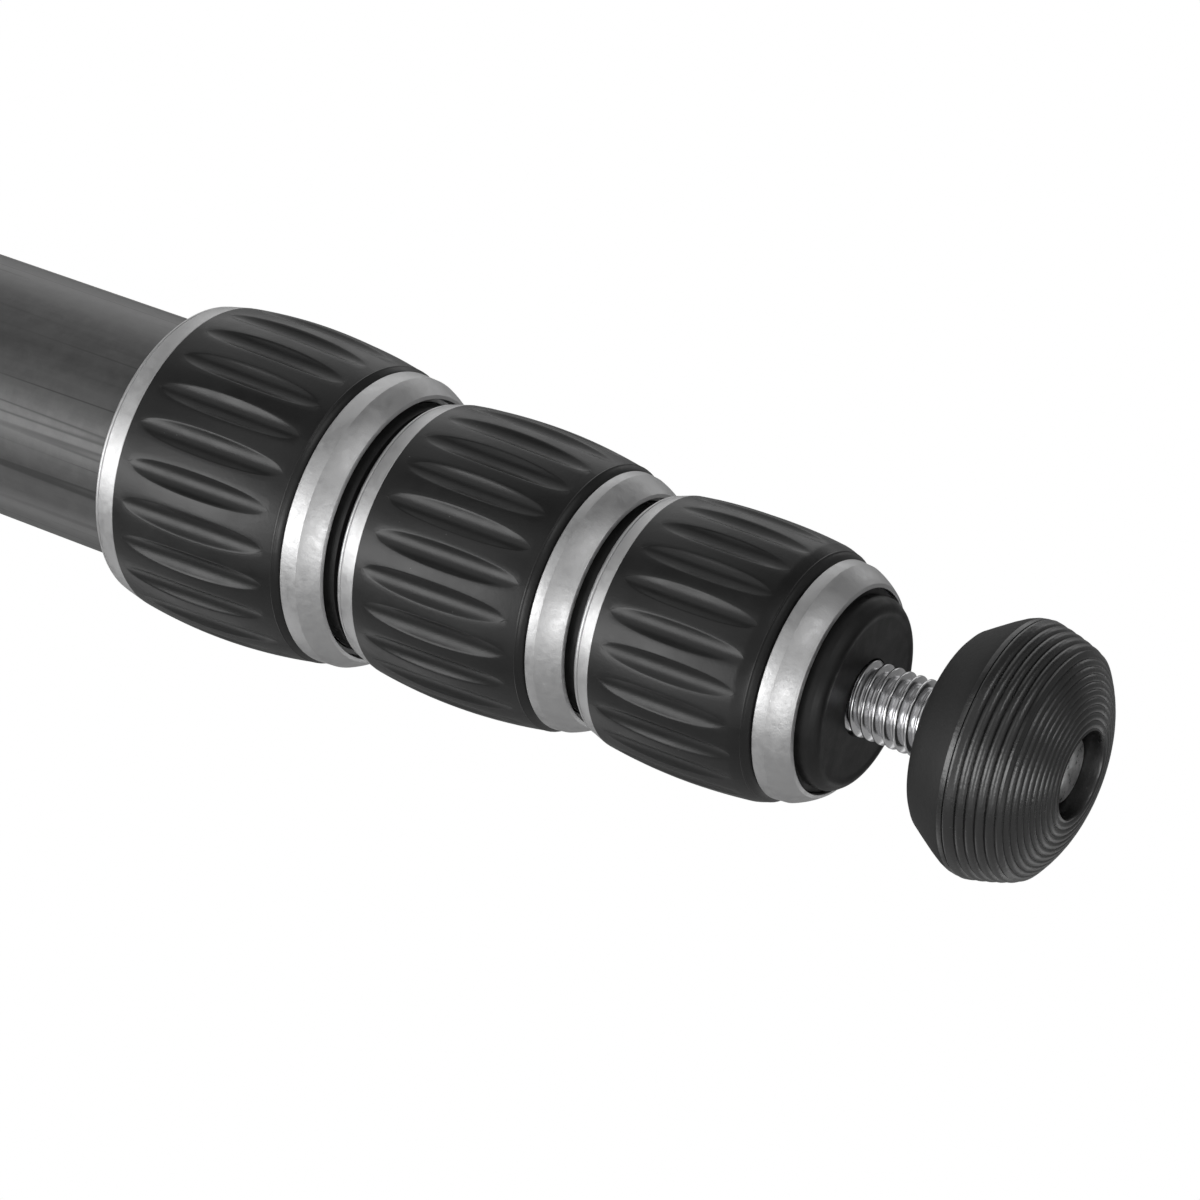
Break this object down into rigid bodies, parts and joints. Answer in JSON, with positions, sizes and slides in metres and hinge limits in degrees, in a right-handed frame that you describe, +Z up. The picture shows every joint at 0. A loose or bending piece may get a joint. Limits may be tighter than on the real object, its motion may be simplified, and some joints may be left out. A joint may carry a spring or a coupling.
{
  "type": "travel tripod",
  "caption": "Folding travel tripod with twist-lock carbon legs, screw-out rubber feet, a sliding centre column and a threaded head mount.",
  "frame": {"origin": "centre of the top plate's upper face, on the head screw's axis", "axes": "+Z up along the head screw and the centre column; leg 1 points to -Y"},
  "size_m": [0.384, 0.3361, 0.4567],
  "materials": {
    "carbon": "satin",
    "satin_aluminium": "satin",
    "black_aluminium": "satin",
    "black_plastic": "matte",
    "grip_rubber": "matte",
    "foot_rubber": "matte",
    "stainless_steel": "bright"
  },
  "bodies": {
    "hub": {"hub": "black_aluminium", "pivot_bolts": "stainless_steel"},
    "column": {"column_tube": "carbon", "top_plate": "black_aluminium", "head_screw": "stainless_steel"},
    "column_lock": {"column_lock": "grip_rubber"},
    "leg_1": {"leg_1_casting": "black_aluminium", "leg_1_tube_1": "carbon", "leg_1_clamp_1": "black_plastic"},
    "leg_1_stop": {"leg_1_angle_stop": "satin_aluminium"},
    "leg_1_lock_1": {"leg_1_lock_1_sleeve": "satin_aluminium", "leg_1_lock_1_grip": "grip_rubber"},
    "leg_1_lock_2": {"leg_1_lock_2_sleeve": "satin_aluminium", "leg_1_lock_2_grip": "grip_rubber"},
    "leg_1_lock_3": {"leg_1_lock_3_sleeve": "satin_aluminium", "leg_1_lock_3_grip": "grip_rubber"},
    "leg_1_section_2": {"leg_1_tube_2": "carbon", "leg_1_clamp_2": "black_plastic"},
    "leg_1_section_3": {"leg_1_tube_3": "carbon", "leg_1_clamp_3": "black_plastic"},
    "leg_1_section_4": {"leg_1_tube_4": "carbon", "leg_1_end_cap": "black_plastic"},
    "leg_1_stud": {"leg_1_foot_stud": "stainless_steel"},
    "leg_1_foot": {"leg_1_foot_pad": "foot_rubber"},
    "leg_2": {"leg_2_casting": "black_aluminium", "leg_2_tube_1": "carbon", "leg_2_clamp_1": "black_plastic"},
    "leg_2_stop": {"leg_2_angle_stop": "satin_aluminium"},
    "leg_2_lock_1": {"leg_2_lock_1_sleeve": "satin_aluminium", "leg_2_lock_1_grip": "grip_rubber"},
    "leg_2_lock_2": {"leg_2_lock_2_sleeve": "satin_aluminium", "leg_2_lock_2_grip": "grip_rubber"},
    "leg_2_lock_3": {"leg_2_lock_3_sleeve": "satin_aluminium", "leg_2_lock_3_grip": "grip_rubber"},
    "leg_2_section_2": {"leg_2_tube_2": "carbon", "leg_2_clamp_2": "black_plastic"},
    "leg_2_section_3": {"leg_2_tube_3": "carbon", "leg_2_clamp_3": "black_plastic"},
    "leg_2_section_4": {"leg_2_tube_4": "carbon", "leg_2_end_cap": "black_plastic"},
    "leg_2_stud": {"leg_2_foot_stud": "stainless_steel"},
    "leg_2_foot": {"leg_2_foot_pad": "foot_rubber"},
    "leg_3": {"leg_3_casting": "black_aluminium", "leg_3_tube_1": "carbon", "leg_3_clamp_1": "black_plastic"},
    "leg_3_stop": {"leg_3_angle_stop": "satin_aluminium"},
    "leg_3_lock_1": {"leg_3_lock_1_sleeve": "satin_aluminium", "leg_3_lock_1_grip": "grip_rubber"},
    "leg_3_lock_2": {"leg_3_lock_2_sleeve": "satin_aluminium", "leg_3_lock_2_grip": "grip_rubber"},
    "leg_3_lock_3": {"leg_3_lock_3_sleeve": "satin_aluminium", "leg_3_lock_3_grip": "grip_rubber"},
    "leg_3_section_2": {"leg_3_tube_2": "carbon", "leg_3_clamp_2": "black_plastic"},
    "leg_3_section_3": {"leg_3_tube_3": "carbon", "leg_3_clamp_3": "black_plastic"},
    "leg_3_section_4": {"leg_3_tube_4": "carbon", "leg_3_end_cap": "black_plastic"},
    "leg_3_stud": {"leg_3_foot_stud": "stainless_steel"},
    "leg_3_foot": {"leg_3_foot_pad": "foot_rubber"}
  },
  "joints": [
    {"name": "column_slide", "type": "slide", "parent": "hub", "child": "column", "axis": [0, 0, 1], "range_m": [0, 0.23]},
    {"name": "column_lock_twist", "type": "hinge", "parent": "hub", "child": "column_lock", "pos_m": [0, 0, -0.0215], "axis": [0, 0, 1], "range_deg": [0, 60]},
    {"name": "leg_1_swing", "type": "hinge", "parent": "hub", "child": "leg_1", "pos_m": [0, -0.042, -0.048], "axis": [-1, 0, 0], "range_deg": [-23, 157]},
    {"name": "leg_1_stop_slide", "type": "slide", "parent": "leg_1", "child": "leg_1_stop", "axis": [0, -0.9205, 0.3907], "range_m": [-0.006, 0]},
    {"name": "leg_1_lock_1_twist", "type": "hinge", "parent": "leg_1", "child": "leg_1_lock_1", "pos_m": [0, -0.16782, -0.3444], "axis": [0, -0.3907, -0.9205], "range_deg": [0, 90]},
    {"name": "leg_1_section_2_slide", "type": "slide", "parent": "leg_1", "child": "leg_1_section_2", "axis": [0, -0.3907, -0.9205], "range_m": [0, 0.245]},
    {"name": "leg_1_lock_2_twist", "type": "hinge", "parent": "leg_1_section_2", "child": "leg_1_lock_2", "pos_m": [0, -0.17952, -0.37197], "axis": [0, -0.3907, -0.9205], "range_deg": [0, 90]},
    {"name": "leg_1_section_3_slide", "type": "slide", "parent": "leg_1_section_2", "child": "leg_1_section_3", "axis": [0, -0.3907, -0.9205], "range_m": [0, 0.245]},
    {"name": "leg_1_lock_3_twist", "type": "hinge", "parent": "leg_1_section_3", "child": "leg_1_lock_3", "pos_m": [0, -0.19058, -0.39802], "axis": [0, -0.3907, -0.9205], "range_deg": [0, 90]},
    {"name": "leg_1_section_4_slide", "type": "slide", "parent": "leg_1_section_3", "child": "leg_1_section_4", "axis": [0, -0.3907, -0.9205], "range_m": [0, 0.245]},
    {"name": "leg_1_foot_travel", "type": "slide", "parent": "leg_1_section_4", "child": "leg_1_stud", "axis": [0, -0.3907, -0.9205], "range_m": [-0.0098, 0.0026]},
    {"name": "leg_1_foot_turn", "type": "hinge", "parent": "leg_1_stud", "child": "leg_1_foot", "pos_m": [0, -0.20413, -0.42996], "axis": [0, -0.3907, -0.9205], "range_deg": [-2808, 720]},
    {"name": "leg_2_swing", "type": "hinge", "parent": "hub", "child": "leg_2", "pos_m": [0.03637, 0.021, -0.048], "axis": [0.5, -0.866, 0], "range_deg": [-23, 157]},
    {"name": "leg_2_stop_slide", "type": "slide", "parent": "leg_2", "child": "leg_2_stop", "axis": [0.7972, 0.4603, 0.3907], "range_m": [-0.006, 0]},
    {"name": "leg_2_lock_1_twist", "type": "hinge", "parent": "leg_2", "child": "leg_2_lock_1", "pos_m": [0.14533, 0.08391, -0.3444], "axis": [0.3384, 0.1954, -0.9205], "range_deg": [0, 90]},
    {"name": "leg_2_section_2_slide", "type": "slide", "parent": "leg_2", "child": "leg_2_section_2", "axis": [0.3384, 0.1954, -0.9205], "range_m": [0, 0.245]},
    {"name": "leg_2_lock_2_twist", "type": "hinge", "parent": "leg_2_section_2", "child": "leg_2_lock_2", "pos_m": [0.15547, 0.08976, -0.37197], "axis": [0.3384, 0.1954, -0.9205], "range_deg": [0, 90]},
    {"name": "leg_2_section_3_slide", "type": "slide", "parent": "leg_2_section_2", "child": "leg_2_section_3", "axis": [0.3384, 0.1954, -0.9205], "range_m": [0, 0.245]},
    {"name": "leg_2_lock_3_twist", "type": "hinge", "parent": "leg_2_section_3", "child": "leg_2_lock_3", "pos_m": [0.16504, 0.09529, -0.39802], "axis": [0.3384, 0.1954, -0.9205], "range_deg": [0, 90]},
    {"name": "leg_2_section_4_slide", "type": "slide", "parent": "leg_2_section_3", "child": "leg_2_section_4", "axis": [0.3384, 0.1954, -0.9205], "range_m": [0, 0.245]},
    {"name": "leg_2_foot_travel", "type": "slide", "parent": "leg_2_section_4", "child": "leg_2_stud", "axis": [0.3384, 0.1954, -0.9205], "range_m": [-0.0098, 0.0026]},
    {"name": "leg_2_foot_turn", "type": "hinge", "parent": "leg_2_stud", "child": "leg_2_foot", "pos_m": [0.17679, 0.10207, -0.42996], "axis": [0.3384, 0.1954, -0.9205], "range_deg": [-2808, 720]},
    {"name": "leg_3_swing", "type": "hinge", "parent": "hub", "child": "leg_3", "pos_m": [-0.03637, 0.021, -0.048], "axis": [0.5, 0.866, 0], "range_deg": [-23, 157]},
    {"name": "leg_3_stop_slide", "type": "slide", "parent": "leg_3", "child": "leg_3_stop", "axis": [-0.7972, 0.4603, 0.3907], "range_m": [-0.006, 0]},
    {"name": "leg_3_lock_1_twist", "type": "hinge", "parent": "leg_3", "child": "leg_3_lock_1", "pos_m": [-0.14533, 0.08391, -0.3444], "axis": [-0.3384, 0.1954, -0.9205], "range_deg": [0, 90]},
    {"name": "leg_3_section_2_slide", "type": "slide", "parent": "leg_3", "child": "leg_3_section_2", "axis": [-0.3384, 0.1954, -0.9205], "range_m": [0, 0.245]},
    {"name": "leg_3_lock_2_twist", "type": "hinge", "parent": "leg_3_section_2", "child": "leg_3_lock_2", "pos_m": [-0.15547, 0.08976, -0.37197], "axis": [-0.3384, 0.1954, -0.9205], "range_deg": [0, 90]},
    {"name": "leg_3_section_3_slide", "type": "slide", "parent": "leg_3_section_2", "child": "leg_3_section_3", "axis": [-0.3384, 0.1954, -0.9205], "range_m": [0, 0.245]},
    {"name": "leg_3_lock_3_twist", "type": "hinge", "parent": "leg_3_section_3", "child": "leg_3_lock_3", "pos_m": [-0.16504, 0.09529, -0.39802], "axis": [-0.3384, 0.1954, -0.9205], "range_deg": [0, 90]},
    {"name": "leg_3_section_4_slide", "type": "slide", "parent": "leg_3_section_3", "child": "leg_3_section_4", "axis": [-0.3384, 0.1954, -0.9205], "range_m": [0, 0.245]},
    {"name": "leg_3_foot_travel", "type": "slide", "parent": "leg_3_section_4", "child": "leg_3_stud", "axis": [-0.3384, 0.1954, -0.9205], "range_m": [-0.0098, 0.0026]},
    {"name": "leg_3_foot_turn", "type": "hinge", "parent": "leg_3_stud", "child": "leg_3_foot", "pos_m": [-0.17679, 0.10207, -0.42996], "axis": [-0.3384, 0.1954, -0.9205], "range_deg": [-2808, 720]}
  ],
  "couplings": [
    {"joint": "leg_1_foot_travel", "follows": "leg_1_foot_turn", "m_per_rad": 0.00019894},
    {"joint": "leg_2_foot_travel", "follows": "leg_2_foot_turn", "m_per_rad": 0.00019894},
    {"joint": "leg_3_foot_travel", "follows": "leg_3_foot_turn", "m_per_rad": 0.00019894}
  ]
}
